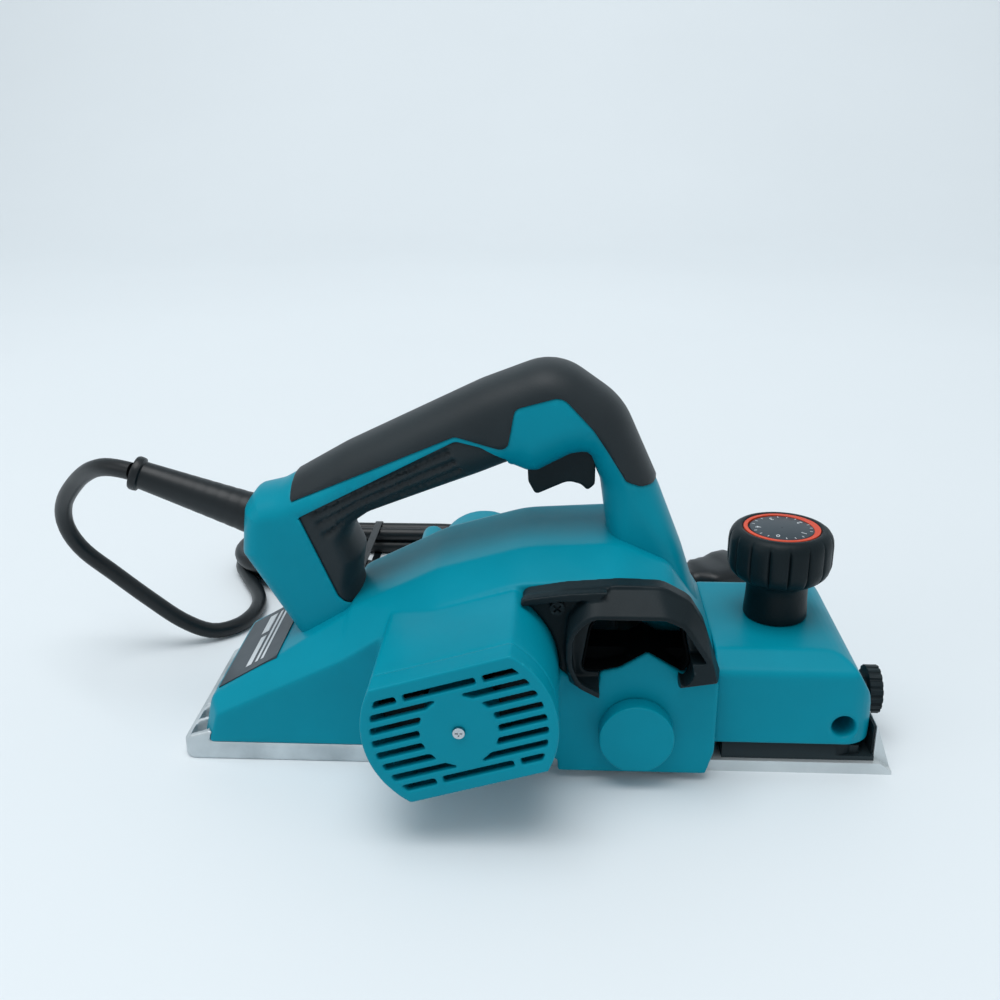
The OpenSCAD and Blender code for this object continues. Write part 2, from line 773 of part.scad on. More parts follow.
module depth_knob() {
    grip_low = 67;
    groove_w = 1.2;
    groove_depth = 0.9;
    step = 360 / knob_panels;
    panel_r = (knob_r - 0.2) / cos(step / 2);
    color(black) translate([knob_x, 0, 0]) difference() {
        intersection() {
            rotate_extrude($fn = 96) polygon([[4, knob_neck_bottom],
                [13, knob_neck_bottom], [12.6, grip_low - 2], [16, grip_low], [knob_r, grip_low + 5],
                [knob_r, knob_top - 5], [knob_r - 3.5, knob_top], [15.8, knob_top],
                [15.8, knob_top - 1], [4, knob_top - 1]]);
            translate([0, 0, knob_neck_bottom]) linear_extrude(60) polygon([for (k = [0:knob_panels - 1])
                panel_r * [cos(step * k), sin(step * k)]]);
        }
        for (k = [0:knob_panels - 1]) rotate([0, 0, k * step])
            translate([knob_r - groove_depth - 0.2, -groove_w / 2, grip_low + 3]) cube([3, groove_w, 30]);
    }
}

module knob_dial() { color("orangered") bar_z([knob_x, 0], 15.7, knob_top - 1, knob_top - 0.2, 64); }

module depth_screw() { color(steel) bar_z([knob_x, 0], 4, 10, knob_top - 1.1); }

function helix_pts(r, z0, z1, turns, n) = [for (i = [0:n])
    let (a = 360 * turns * i / n) [knob_x + r * cos(a), r * sin(a), z0 + (z1 - z0) * i / n]];

module depth_spring() {
    color(steel) sweep(helix_pts(9.7, 11, 39, 6, 78), 0.8, 6);
}

module front_base() {
    color(alloy) difference() {
        union() {
            slab_xz(-half_w, half_w) polygon([[mouth_front, 0], [half_l, 0], [half_l, 1.5],
                [half_l - 5, front_sole_t], [mouth_front + 4.5, front_sole_t]]);
            // Upturned front edge
            slab_xz(-38, 38) polygon([[135.7, front_sole_t - 1], [half_l, 1.5], [136, 20], [135.7, 20]]);
            box([78, -36, front_sole_t], [130, 36, 10]);
            bar_z([knob_x, 0], 8, front_sole_t, 36);
            for (s = [-1, 1]) bar_z([post_x, s * post_y], post_r, front_sole_t, 38);
        }
        bar_z([knob_x, 0], 4.1, 7, 40);
        // Room for the clamp knob over the sole's whole travel
        box([134, clamp_y - 11, 7.5], [150, clamp_y + 11, 30]);
    }
}

module front_skirt() {
    wall = 2;
    color(black) difference() {
        union() {
            difference() {
                union() {
                    box([75.5, -39, front_sole_t], [131, 39, front_sole_t + 2]);
                    linear_extrude(skirt_top)
                        polygon(rounded([[75.5, -39], [131, -39, 11], [131, 39, 11], [75.5, 39]], 8));
                }
                box([70, -45, -1], [140, 45, front_sole_t]);
                box([75.5 + wall, -39 + wall, 0], [131 + 1, 39 - wall, 20]);
            }
            box([130.2, -39, front_sole_t], [135.6, 39, front_sole_t + 2]);
            box([134.8, -37, front_sole_t], [135.6, 37, 19.5]);
        }
        box([134, clamp_y - 6, 9], [138, clamp_y + 6, 30]);
    }
}

module clamp_knob() {
    grip_r = 10;
    color(black) difference() {
        union() {
            bar_x([clamp_y, guide_z], grip_r, 137.6, 142.8);
            bar_x([clamp_y, guide_z], 5, 135, 138);
        }
        for (k = [0:17]) translate([137, clamp_y, guide_z]) rotate([k * 20, 0, 0])
            translate([0, 0, grip_r + 0.3]) rotate([0, 90, 0]) cylinder(r = 0.9, h = 12, $fn = 16);
        bar_x([clamp_y, guide_z], 3.01, 130, 141, 32);
    }
}

module clamp_screw() { color(steel) bar_x([clamp_y, guide_z], 3, 127, 141, 32); }

// ---- cord ----

// Closed tube of radius r with n sides along the points pts.
module sweep(pts, r, n) {
    m = len(pts);
    function heading(i) = unit(pts[min(i + 1, m - 1)] - pts[max(i - 1, 0)]);
    function side(i) = let (h = heading(i), c = cross([0, 0, 1], h)) norm(c) > 0.05 ? unit(c) : [0, 1, 0];
    rings = [for (i = [0:m - 1]) let (h = heading(i), u = side(i), v = cross(h, u))
        for (k = [0:n - 1]) pts[i] + r * (cos(360 * k / n) * u + sin(360 * k / n) * v)];
    sides = [for (i = [0:m - 2]) for (k = [0:n - 1]) let (a = i * n + k, b = i * n + (k + 1) % n)
        each [[a, a + n, b], [b, a + n, b + n]]];
    ends = [[for (k = [0:n - 1]) k], [for (k = [0:n - 1]) (m - 1) * n + n - 1 - k]];
    polyhedron(points = rings, faces = concat(sides, ends));
}

// Point on the smooth curve between p1 and p2.
function curve(p0, p1, p2, p3, t) = 0.5 * ((2 * p1) + (p2 - p0) * t
    + (2 * p0 - 5 * p1 + 4 * p2 - p3) * t * t + (3 * p1 - p0 - 3 * p2 + p3) * t * t * t);
function smooth(pts, n) = [for (i = [0:len(pts) - 2]) for (k = [0:n - 1])
    curve(pts[max(i - 1, 0)], pts[i], pts[i + 1], pts[min(i + 2, len(pts) - 1)], k / n),
    pts[len(pts) - 1]];

guard_dir = [-cos(guard_angle), 0, sin(guard_angle)];
guard_tip = guard_root + guard_len * guard_dir;
floor_z = 4;
// Route from the strain relief, round behind the tool and into the hank
cord_route = [[-187, 11, 107], [-201, 24, 96], [-213, 35, 82], [-217, 42, 68], [-213, 47, 54],
    [-201, 51, 40], [-187, 53, 26.5], [-173, 56, 13.5], [-161, 61, 5.5], [-151, 69, floor_z],
    [-146, 81, floor_z], [-146, 96, floor_z], [-151, 111, floor_z], [-158, 124, 4.2], [-164, 137, 4.4]];
hank_x = [-172, -24];
hank_y = [116, 185];
hank_low = 0.6;
hank_h = 15.4;
tail_route = [[-27.8, 146, 12], [-26, 134, 10], [-18, 123, 7], [-6, 117, 5], [10, 113, floor_z],
    [28, 110, floor_z], [46, 109.5, 5], [60, 112.5, 6.5], [70, 118, 7]];
// Start of the plug's neck and its turn in plan
plug_at = [70, 118];
plug_turn = 30;

module power_cord() {
    color(black) sweep(smooth(concat([guard_tip, guard_tip + 10 * guard_dir], cord_route), 3),
        cord_d / 2, 10);
}

module cord_hank() {
    r = (hank_y[1] - hank_y[0]) / 2;
    color(black) translate([0, 0, hank_low]) linear_extrude(hank_h) hull() {
        translate([hank_x[0] + r, hank_y[0] + r]) circle(r = r, $fn = 32);
        translate([hank_x[1] - r, hank_y[0] + r]) circle(r = r, $fn = 32);
    }
}

module cord_tie() {
    tie_x = -97;
    tie_w = 4;
    color(black) difference() {
        box([tie_x, hank_y[0] - 1, 0.1], [tie_x + tie_w, hank_y[1] + 1, hank_low + hank_h + 1]);
        box([tie_x - 1, hank_y[0], hank_low], [tie_x + tie_w + 1, hank_y[1], hank_low + hank_h]);
    }
}
module cord_tail() { color(black) sweep(smooth(tail_route, 3), cord_d / 2, 10); }
module plug_frame() { translate(plug_at) rotate([0, 0, plug_turn]) children(); }

module plug_body() {
    color(black) plug_frame() union() {
        bar_x([0, 7], 5.5, 0, 16, 32);
        box([16, -16, 0.5], [46, 16, 15.6]);
    }
}

module plug_pins() {
    color(steel) plug_frame() for (s = [-1, 1]) bar_x([s * 9.3, 8.2], 2.4, 46, 65, 24);
}

base_casting();
main_housing();
front_housing();
motor_end_cap();
end_cap_screw();
handle_near();
handle_far();
handle_overmould();
finger_grip();
handle_screws();
base_screws();
switch_module();
trigger_pin();
chip_chute();
chute_screw();
drum_cover();
belt_cover();
belt_cover_screws();
drive_belt();
drum_bearing_near();
drum_bearing_far();
motor_bearing_near();
motor_bearing_far();
stator();
brush_holders();
brushes();
rating_plate();
cord_guard();
cord_clamp();
motor_shaft();
rotor_core();
commutator();
cooling_fan();
motor_pulley();
cutter_drum();
drum_blades();
blade_clamps();
blade_bolts();
drum_pulley();
pulley_nut();
trigger();
lock_button();
depth_knob();
knob_dial();
depth_screw();
depth_spring();
front_base();
front_skirt();
clamp_knob();
clamp_screw();
power_cord();
cord_hank();
cord_tie();
cord_tail();
plug_body();
plug_pins();
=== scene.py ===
"""Looks of the hand-held electric planer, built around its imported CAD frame.

Lengths are in millimetres in the tables and helpers, and metres once they are in a mesh.
"""
import json
import math

import bpy
import bmesh
import numpy as np
from mathutils import Matrix, Vector
from mathutils.bvhtree import BVHTree
from mathutils.geometry import delaunay_2d_cdt


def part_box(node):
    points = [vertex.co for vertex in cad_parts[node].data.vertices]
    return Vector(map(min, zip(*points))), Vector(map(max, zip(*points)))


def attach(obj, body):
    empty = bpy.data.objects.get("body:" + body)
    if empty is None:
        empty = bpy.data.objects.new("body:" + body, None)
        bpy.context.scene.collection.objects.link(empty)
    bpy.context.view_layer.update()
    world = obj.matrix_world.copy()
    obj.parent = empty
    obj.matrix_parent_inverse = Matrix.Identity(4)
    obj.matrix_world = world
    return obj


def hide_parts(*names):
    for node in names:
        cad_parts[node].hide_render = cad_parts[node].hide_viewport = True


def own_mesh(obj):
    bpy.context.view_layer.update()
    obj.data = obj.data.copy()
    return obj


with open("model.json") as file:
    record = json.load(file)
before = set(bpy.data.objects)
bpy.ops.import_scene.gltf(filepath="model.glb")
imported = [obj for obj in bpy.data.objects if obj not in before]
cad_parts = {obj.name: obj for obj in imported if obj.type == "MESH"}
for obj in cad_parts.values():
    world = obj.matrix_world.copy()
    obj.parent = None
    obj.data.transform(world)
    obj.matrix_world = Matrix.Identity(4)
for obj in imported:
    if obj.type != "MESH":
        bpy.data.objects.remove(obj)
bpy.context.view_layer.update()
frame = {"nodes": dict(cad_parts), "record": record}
NODES = frame["nodes"]
MM = 0.001
scene = bpy.context.scene

# ---- camera -----------------------------------------------------------------------------

CAMERA_AT = (6.0, -419.2, 255.9)
CAMERA_AZIMUTH = 2.81
CAMERA_ELEVATION = 20.48
CAMERA_ROLL = 0.26
LENS = 39.6
SENSOR_WIDTH = 36.0


def add_camera():
    az, el, roll = (math.radians(a) for a in (CAMERA_AZIMUTH, CAMERA_ELEVATION, CAMERA_ROLL))
    ahead = Vector((-math.sin(az) * math.cos(el), math.cos(az) * math.cos(el), -math.sin(el)))
    right = Vector((math.cos(az), math.sin(az), 0))
    up = right.cross(ahead)
    right, up = (right * math.cos(roll) - up * math.sin(roll),
                 right * math.sin(roll) + up * math.cos(roll))
    data = bpy.data.cameras.new("camera")
    data.lens = LENS
    data.sensor_width = SENSOR_WIDTH
    data.clip_start = 0.01
    data.clip_end = 20
    camera = bpy.data.objects.new("camera", data)
    turn = Matrix((right, up, -ahead)).transposed().to_4x4()
    camera.matrix_world = Matrix.Translation(Vector(CAMERA_AT) * MM) @ turn
    scene.collection.objects.link(camera)
    scene.camera = camera


add_camera()

# ---- materials --------------------------------------------------------------------------


def srgb(r, g, b):
    """Linear colour from display values of 0 to 255."""
    def one(c):
        c /= 255
        return c / 12.92 if c <= 0.04045 else ((c + 0.055) / 1.055) ** 2.4
    return (one(r), one(g), one(b), 1)


def material(name, dark, light, rough=(0.35, 0.5), metallic=0.0, grain=900, bump=0.15,
             stretch=(1, 1, 1), blotch=25, coat=0.0, specular=0.5, edge_highlight=None, sheen=0.0):
    """Procedural material: colour and roughness that vary over the surface, with a fine grain.
    edge_highlight is a painted highlight: a lighter colour along convex edges, where the edges
    catch the light."""
    m = bpy.data.materials.new(name)
    m.use_nodes = True
    nodes, links = m.node_tree.nodes, m.node_tree.links
    shader = nodes["Principled BSDF"]
    shader.inputs["Metallic"].default_value = metallic
    shader.inputs["Specular IOR Level"].default_value = specular
    shader.inputs["Coat Weight"].default_value = coat
    shader.inputs["Coat Roughness"].default_value = 0.25
    shader.inputs["Sheen Weight"].default_value = sheen
    place = nodes.new("ShaderNodeTexCoord")
    mapping = nodes.new("ShaderNodeMapping")
    mapping.inputs["Scale"].default_value = stretch
    links.new(place.outputs["Object"], mapping.inputs["Vector"])

    def noise(scale, detail, vector):
        n = nodes.new("ShaderNodeTexNoise")
        n.inputs["Scale"].default_value = scale
        n.inputs["Detail"].default_value = detail
        links.new(vector, n.inputs["Vector"])
        return n.outputs["Fac"]

    ramp = nodes.new("ShaderNodeValToRGB")
    ramp.color_ramp.elements[0].position = 0.3
    ramp.color_ramp.elements[0].color = dark
    ramp.color_ramp.elements[1].position = 0.7
    ramp.color_ramp.elements[1].color = light
    links.new(noise(blotch, 4, place.outputs["Object"]), ramp.inputs["Fac"])
    colour = ramp.outputs["Color"]
    # Painted highlight: a lighter colour mixed in along convex edges, found from pointiness.
    if edge_highlight:
        geometry = nodes.new("ShaderNodeNewGeometry")
        edge = nodes.new("ShaderNodeMapRange")
        edge.inputs["From Min"].default_value = 0.53
        edge.inputs["From Max"].default_value = 0.62
        edge.inputs["To Max"].default_value = 0.55
        links.new(geometry.outputs["Pointiness"], edge.inputs["Value"])
        mix = nodes.new("ShaderNodeMix")
        mix.data_type = "RGBA"
        links.new(edge.outputs["Result"], mix.inputs["Factor"])
        links.new(colour, mix.inputs["A"])
        mix.inputs["B"].default_value = edge_highlight
        colour = mix.outputs["Result"]
    links.new(colour, shader.inputs["Base Color"])
    spread = nodes.new("ShaderNodeMapRange")
    spread.inputs["To Min"].default_value = rough[0]
    spread.inputs["To Max"].default_value = rough[1]
    links.new(noise(blotch * 3, 3, mapping.outputs["Vector"]), spread.inputs["Value"])
    links.new(spread.outputs["Result"], shader.inputs["Roughness"])
    relief = nodes.new("ShaderNodeBump")
    relief.inputs["Strength"].default_value = bump
    relief.inputs["Distance"].default_value = 0.0003
    links.new(noise(grain, 2, mapping.outputs["Vector"]), relief.inputs["Height"])
    links.new(relief.outputs["Normal"], shader.inputs["Normal"])
    return m


# The lighter edge colours given to these materials are painted highlights on convex edges.
TEAL = material("teal_plastic", srgb(0, 131, 152), srgb(0, 139, 161), rough=(0.34, 0.44),
                grain=1400, bump=0.08, specular=0.1, edge_highlight=srgb(36, 163, 180))
BLACK = material("black_plastic", srgb(12, 24, 28), srgb(20, 33, 38), rough=(0.38, 0.5),
                 grain=1500, bump=0.2, specular=0.16, edge_highlight=srgb(52, 64, 68))
GRIP = material("soft_grip", srgb(16, 27, 32), srgb(23, 35, 40), rough=(0.46, 0.58), grain=2200,
                bump=0.3, specular=0.35, sheen=0.05)
CORD = material("cord_rubber", srgb(11, 18, 22), srgb(18, 26, 30), rough=(0.32, 0.44), grain=900,
                bump=0.12, specular=0.35)
CAST = material("cast_aluminium", srgb(172, 182, 187), srgb(204, 213, 217), rough=(0.34, 0.55),
                metallic=0.5, grain=260, bump=0.55, blotch=60, edge_highlight=srgb(232, 236, 238))
MILLED = material("milled_aluminium", srgb(186, 195, 198), srgb(212, 219, 221),
                  rough=(0.25, 0.42), metallic=0.55, grain=60, bump=0.3, stretch=(1, 22, 22),
                  blotch=40, edge_highlight=srgb(236, 239, 240))
STEEL = material("machined_steel", srgb(118, 124, 128), srgb(150, 156, 160), rough=(0.22, 0.4),
                 metallic=1.0, grain=80, bump=0.2, stretch=(20, 1, 20))
SCREW = material("bright_screw", srgb(165, 172, 176), srgb(200, 206, 210), rough=(0.18, 0.35),
                 metallic=1.0, grain=300, bump=0.15)
COPPER = material("copper", srgb(150, 82, 48), srgb(184, 108, 66), rough=(0.25, 0.45),
                  metallic=1.0, grain=200, bump=0.2, stretch=(1, 12, 1))
ORANGE = material("orange_plastic", srgb(196, 62, 32), srgb(216, 76, 42), rough=(0.4, 0.5),
                  grain=900, bump=0.1, specular=0.3)
PALE = material("pale_print", srgb(196, 203, 207), srgb(216, 222, 226), rough=(0.4, 0.5),
                grain=900, bump=0.05, specular=0.2)
PLATE = material("plate_grey", srgb(40, 52, 60), srgb(50, 62, 70), rough=(0.34, 0.44), grain=700,
                 bump=0.08, specular=0.3)
# Painted shade: a near-black, dull material that stands for the dark inside the chip duct.
DUCT_SHADE = material("duct_painted_shade", srgb(7, 11, 13), srgb(11, 16, 18), rough=(0.7, 0.85),
                      grain=900, bump=0.1, specular=0.04)

SLOT_LOOKS = {
    "teal_plastic": TEAL, "black_plastic": BLACK, "soft_grip": GRIP, "cord_rubber": CORD,
    "cast_aluminium": CAST, "machined_steel": STEEL, "bright_screw": SCREW, "copper": COPPER,
    "orange_plastic": ORANGE, "plate_grey": PLATE,
}

# ---- mesh helpers -----------------------------------------------------------------------


def add_piece(name, points, faces, look, body, sharp=35, replaced=()):
    """A piece from points in millimetres, riding on a body."""
    mesh = bpy.data.meshes.new(name)
    mesh.from_pydata([tuple(c * MM for c in p) for p in points], [], faces)
    mesh.validate()
    bm = bmesh.new()
    bm.from_mesh(mesh)
    bmesh.ops.remove_doubles(bm, verts=bm.verts, dist=1e-6)
    bmesh.ops.recalc_face_normals(bm, faces=bm.faces)
    bm.to_mesh(mesh)
    bm.free()
    mesh.shade_smooth()
    mesh.set_sharp_from_angle(angle=math.radians(sharp))
    mesh.materials.append(look)
    obj = bpy.data.objects.new(name, mesh)
    scene.collection.objects.link(obj)
    return finish_piece(obj, body, replaced)


def finish_piece(obj, body, replaced=()):
    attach(obj, body)
    if replaced:
        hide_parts(*replaced)
    return obj


def ring_faces(rings, n, closed=False):
    """Faces between rings of n points each. closed joins the last ring to the first."""
    faces = []
    for a in range(rings if closed else rings - 1):
        b = (a + 1) % rings
        for k in range(n):
            m = (k + 1) % n
            faces.append((a * n + k, a * n + m, b * n + m, b * n + k))
    return faces


def cap_faces(rings, n):
    """Flat faces that close the first and the last of the rings."""
    return [tuple(range(n)), tuple((rings - 1) * n + k for k in range(n))]


def normals_of(line):
    """Unit normals at the points of a flat polyline."""
    tangent = np.gradient(line, axis=0)
    normal = np.stack([-tangent[:, 1], tangent[:, 0]], 1)
    return normal / np.maximum(1e-9, np.linalg.norm(normal, axis=1))[:, None]


def lathe(profile, turns=64, shape=None):
    """Points and faces of a profile [radius, height] turned round +Z.
    shape(angle, radius, height) may change the radius."""
    points, faces = [], []
    rows = len(profile)
    for k in range(turns):
        a = 2 * math.pi * k / turns
        for r, z in profile:
            rr = shape(a, r, z) if shape else r
            points.append((rr * math.cos(a), rr * math.sin(a), z))
    for k in range(turns):
        n = (k + 1) % turns
        for i in range(rows - 1):
            faces.append((k * rows + i, n * rows + i, n * rows + i + 1, k * rows + i + 1))
    return points, faces


def unit(v):
    return v / np.linalg.norm(v)


def rounded(corners, steps=6):
    """Outline from corners (x, y) or (x, y, radius)."""
    out, n = [], len(corners)
    for i, corner in enumerate(corners):
        p = np.array(corner[:2], float)
        r = corner[2] if len(corner) > 2 else 0
        if not r:
            out.append(p)
            continue
        a, b = (np.array(corners[(i + s) % n][:2], float) for s in (-1, 1))
        u, v = unit(a - p), unit(b - p)
        half = math.acos(max(-1, min(1, float(u @ v)))) / 2
        t = min(r / math.tan(half), 0.49 * np.linalg.norm(a - p), 0.49 * np.linalg.norm(b - p))
        radius = t * math.tan(half)
        centre = p + unit(u + v) * radius / math.sin(half)
        for k in range(steps + 1):
            on = (p + u * t - centre) * (1 - k / steps) + (p + v * t - centre) * k / steps
            out.append(centre + radius * unit(on))
    return np.array(out)


def resample(line, step, closed=False):
    """Points every step or so along a polyline."""
    pts = np.vstack([line, line[:1]]) if closed else np.asarray(line)
    seg = np.linalg.norm(np.diff(pts, axis=0), axis=1)
    dist = np.concatenate([[0], np.cumsum(seg)])
    count = max(2, int(round(dist[-1] / step)) + 1)
    at = np.linspace(0, dist[-1], count)
    if closed:
        at = at[:-1]
    return np.stack([np.interp(at, dist, pts[:, k]) for k in range(pts.shape[1])], 1)


def smooth_line(pts, n):
    """Smooth curve through points, n steps to each stretch."""
    pts = [np.array(p, float) for p in pts]
    out = []
    for i in range(len(pts) - 1):
        p0, p1, p2, p3 = (pts[max(i - 1, 0)], pts[i], pts[i + 1], pts[min(i + 2, len(pts) - 1)])
        for k in range(n):
            t = k / n
            out.append(0.5 * (2 * p1 + (p2 - p0) * t + (2 * p0 - 5 * p1 + 4 * p2 - p3) * t * t
                              + (3 * p1 - p0 - 3 * p2 + p3) * t ** 3))
    out.append(pts[-1])
    return np.array(out)


def smoothstep(x):
    x = np.clip(x, 0, 1)
    return x * x * (3 - 2 * x)


# ---- cord -------------------------------------------------------------------------------

CORD_D = 7.6
CORD_STEP = 4.0
GUARD_ROOT = np.array([-116, 0, 91.5])
GUARD_LEN = 53
GUARD_TURN = math.radians(20)
GUARD_DIR = np.array([-math.cos(GUARD_TURN), 0, math.sin(GUARD_TURN)])
GUARD_TIP = GUARD_ROOT + GUARD_LEN * GUARD_DIR
GUARD_RUN = 9
FLOOR_Z = 4.0
CORD_ROUTE = [(-187, 11, 107), (-201, 24, 96), (-213, 35, 82), (-217, 42, 68), (-213, 47, 54),
              (-201, 51, 40), (-187, 53, 26.5), (-173, 56, 13.5), (-161, 61, 5.5),
              (-151, 69, FLOOR_Z), (-146, 81, FLOOR_Z), (-146, 96, FLOOR_Z), (-151, 111, FLOOR_Z),
              (-158, 124, 4.2)]
HANK_X = (-172, -24)
HANK_Y = (116, 185)
LAYERS = (4.5, 12.1)
STRAP_X = (-97, -93)
TAIL_ROUTE = [(-26, 134, 10), (-18, 123, 7), (-6, 117, 5), (10, 113, FLOOR_Z),
              (28, 110, FLOOR_Z), (46, 109.5, 5), (60, 112.5, 6.5), (70, 118, 7)]
PLUG_AT = Vector((70, 118, 0))
PLUG_TURN = math.radians(30)
PLUG_LEN = 46
PIN_LEN = 19
PIN_APART = 18.6
PIN_Z = 8.2


def hank_line():
    """Turns of the hank: out along the far side, back along the near side."""
    half_w = (HANK_Y[1] - HANK_Y[0]) / 2
    outer = half_w - CORD_D / 2
    inner = outer - CORD_D
    mid_y = (HANK_Y[0] + HANK_Y[1]) / 2
    left, right = HANK_X[0] + half_w, HANK_X[1] - half_w
    low, high = LAYERS
    # Radius and height at the start and end of each turn, and where on the near side they change
    turns = [(outer, low, inner, low, 0.5), (inner, low, inner, high, 0.0),
             (inner, high, outer, high, 0.0), (outer, high, outer, high, 0.0)]
    line = []
    for k, (r0, z0, r1, z1, late) in enumerate(turns):
        # The cord joins the first turn part of the way round its left end
        left_end = np.linspace(270, 90, 16) if k else np.linspace(215, 90, 12)
        for a in left_end:
            a = math.radians(a)
            line.append((left + r0 * math.cos(a), mid_y + r0 * math.sin(a), z0))
        for t in (0.25, 0.5, 0.75):
            line.append((left + (right - left) * t, mid_y + r0, z0))
        last = k == len(turns) - 1
        for a in np.linspace(90, 0 if last else -90, 8 if last else 16):
            a = math.radians(a)
            line.append((right + r0 * math.cos(a), mid_y + r0 * math.sin(a), z0))
        if not last:
            for t in np.linspace(0.125, 0.875, 7):
                f = float(smoothstep((t - late) / 0.5))
                r, z = r0 + (r1 - r0) * f, z0 + (z1 - z0) * f
                line.append((right + (left - right) * t, mid_y - r, z))
    return line


def ease_exit(path, reach=11, rounds=14):
    """Evens out the bend beside the strain relief: the first points move towards the mean of
    their neighbours, less and less towards the end of the reach."""
    path = path.copy()
    fade = np.clip((reach - np.arange(1, len(path) - 1)) / 5, 0, 1)[:, None]
    for _ in range(rounds):
        path[1:-1] += ((path[:-2] + path[2:]) / 2 - path[1:-1]) * fade * 0.5
    return path


def add_cord():
    start = [tuple(GUARD_TIP), tuple(GUARD_TIP + GUARD_RUN * GUARD_DIR)]
    points = start + CORD_ROUTE + hank_line() + TAIL_ROUTE
    path = ease_exit(resample(smooth_line(points, 12), CORD_STEP))
    data = bpy.data.curves.new("mains_cord", "CURVE")
    data.dimensions = "3D"
    data.bevel_depth = CORD_D / 2 * MM
    data.bevel_resolution = 5
    data.use_fill_caps = True
    spline = data.splines.new("POLY")
    spline.points.add(len(path) - 1)
    for q, p in zip(spline.points, path):
        q.co = (*(p * MM), 1)
    spline.use_smooth = True
    data.materials.append(CORD)
    obj = bpy.data.objects.new("mains_cord", data)
    scene.collection.objects.link(obj)
    length = float(np.linalg.norm(np.diff(path, axis=0), axis=1).sum()) * MM
    finish_piece(obj, "body", ["power_cord", "cord_hank", "cord_tail"])
    return obj, length


def plug_point(x, y, z):
    """A point of the plug: x along it from the cord, y across, z up from the floor."""
    return PLUG_AT + Matrix.Rotation(PLUG_TURN, 3, "Z") @ Vector((x, y, z))


def add_plug():
    """Moulded plug: a waisted body with finger ridges and a ribbed neck."""
    points = []
    sides = 40
    lowest = 0.6
    # Station along the plug: x, half width, half height, centre height, squareness
    stations = [(0, 5.0, 5.0, 7, 2), (1, 5.5, 5.5, 7, 2), (4, 5.5, 5.5, 7, 2), (5, 4.9, 4.9, 7, 2),
                (7, 4.9, 4.9, 7, 2), (8, 5.5, 5.5, 7.2, 2), (11, 5.5, 5.5, 7.4, 2),
                (12, 5.0, 5.0, 7.2, 2), (14, 5.2, 5.2, 7.4, 2), (16, 8, 5.6, 7.6, 2.4),
                (19, 12.5, 6.4, 7.9, 3), (22, 14.6, 6.9, 8, 3.4), (25, 14.3, 6.7, 8, 3.4),
                (28, 14.9, 6.9, 8, 3.4), (31, 14.6, 6.7, 8, 3.4), (34, 15.4, 7.1, 8, 3.6),
                (38, 16, 7.4, 8.2, 4), (44.6, 16, 7.4, 8.2, 4),
                (PLUG_LEN, 15.2, 6.8, 8.2, 4)]
    for x, w, h, z, q in stations:
        for k in range(sides):
            a = 2 * math.pi * k / sides
            c, s = math.cos(a), math.sin(a)
            y = w * math.copysign(abs(c) ** (2 / q), c)
            dz = h * math.copysign(abs(s) ** (2 / q), s)
            points.append(plug_point(x, y, max(lowest, z + dz)))
    faces = ring_faces(len(stations), sides) + cap_faces(len(stations), sides)
    return add_piece("plug_moulding", points, faces, CORD, "body", 50,
                     ["plug_body"])


def add_pins():
    """Two round pins with a rounded tip and a slightly thinner root."""
    points, faces = [], []
    profile = [(0, PIN_LEN), (1.5, PIN_LEN), (2.1, PIN_LEN - 0.6), (2.4, PIN_LEN - 2), (2.4, 9.2),
               (2.25, 9), (2.25, 0)]
    for side in (-1, 1):
        p, f = lathe(profile, 24)
        base = len(points)
        points += [plug_point(PLUG_LEN + z, side * PIN_APART / 2 + x, PIN_Z + y) for x, y, z in p]
        faces += [tuple(base + i for i in q) for q in f]
    return add_piece("plug_pin_pair", points, faces, SCREW, "body", 40,
                     ["plug_pins"])


def add_strain_relief():
    """Tapered sleeve with a collar at its tip and shallow rings near the handle."""
    root_r, taper = 8.5, 2.6
    profile = [(0.1, -10), (root_r - 0.2, -10), (root_r, -9)]
    for z in np.linspace(2, GUARD_LEN - 5.5, 60):
        t = (z - 2) / (GUARD_LEN - 7.5)
        r = root_r - taper * t ** 0.9
        profile.append((r - 0.12 * max(0, math.sin(z * 1.3)) * (1 - t), z))
    tip = GUARD_LEN
    profile += [(5.9, tip - 4.6), (7.0, tip - 4.0), (7.2, tip - 3.2), (7.2, tip - 1.6),
                (6.8, tip - 0.8), (5.4, tip - 0.5), (3.9, tip), (3.7, tip), (0.1, tip)]
    points, faces = lathe(profile, 56)
    across = np.array([0, 1, 0])
    other = np.cross(GUARD_DIR, across)
    points = [GUARD_ROOT + GUARD_DIR * z + across * x + other * y for x, y, z in points]
    return add_piece("strain_relief", points, faces, CORD, "body", 40,
                     ["cord_guard"])


def add_tie():
    """Flat strap round the middle of the hank."""
    y0, y1 = HANK_Y[0] - 1, HANK_Y[1] + 1
    z0, z1 = 0.15, LAYERS[1] + CORD_D / 2 + 0.9
    loop = rounded([(y0, z0, 2), (y1, z0, 2), (y1, z1, 5), (y0, z1, 5)], 8)
    inner = rounded([(y0 + 1, z0 + 0.5, 1.5), (y1 - 1, z0 + 0.5, 1.5), (y1 - 1, z1 - 0.8, 4.5),
                     (y0 + 1, z1 - 0.8, 4.5)], 8)
    x0, x1 = STRAP_X
    points = []
    for ring, x in ((loop, x0), (loop, x1), (inner, x1), (inner, x0)):
        points += [(x, y, z) for y, z in ring]
    return add_piece("hank_strap", points, ring_faces(4, len(loop), True), CORD,
                     "body", 35, ["cord_tie"])


cord, cord_length = add_cord()
plug = add_plug()
pins = add_pins()
strap = add_tie()
add_strain_relief()

# ---- handle -----------------------------------------------------------------------------

